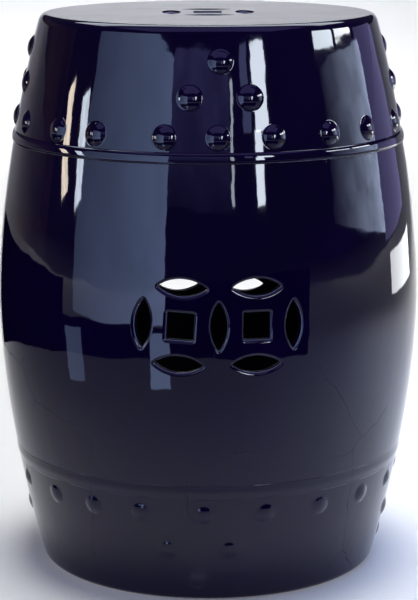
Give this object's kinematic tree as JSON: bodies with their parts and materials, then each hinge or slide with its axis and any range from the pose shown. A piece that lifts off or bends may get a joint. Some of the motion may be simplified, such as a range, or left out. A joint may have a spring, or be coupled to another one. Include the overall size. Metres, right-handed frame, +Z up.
{
  "type": "ceramic garden stool",
  "caption": "Barrel-shaped glazed stoneware garden stool, hollow and open below, with coin piercings in the front, back and seat, raised bands and rows of domed studs.",
  "frame": {"origin": "centre of the foot on the floor", "axes": "+Z up through the barrel's axis; one double coin piercing faces -Y, the other faces +Y"},
  "size_m": [0.3488, 0.3488, 0.457],
  "materials": {
    "cobalt_glaze": "deep cobalt gloss glaze on stoneware",
    "bare_clay": "bare fired stoneware, wiped smooth"
  },
  "bodies": {
    "root": {"seat_disc": "cobalt_glaze", "shoulder_wall": "cobalt_glaze", "belly_wall": "cobalt_glaze", "foot_wall": "cobalt_glaze", "foot_ring": "cobalt_glaze", "upper_band": "cobalt_glaze", "lower_band": "cobalt_glaze", "seat_seam_coil": "bare_clay", "upper_seam_coil": "bare_clay", "lower_seam_coil": "bare_clay", "upper_row_studs": "cobalt_glaze", "lower_row_studs": "cobalt_glaze", "front_upper_triangle_studs": "cobalt_glaze", "right_upper_triangle_studs": "cobalt_glaze", "back_upper_triangle_studs": "cobalt_glaze", "left_upper_triangle_studs": "cobalt_glaze", "front_lower_triangle_studs": "cobalt_glaze", "right_lower_triangle_studs": "cobalt_glaze", "back_lower_triangle_studs": "cobalt_glaze", "left_lower_triangle_studs": "cobalt_glaze"}
  },
  "joints": []
}
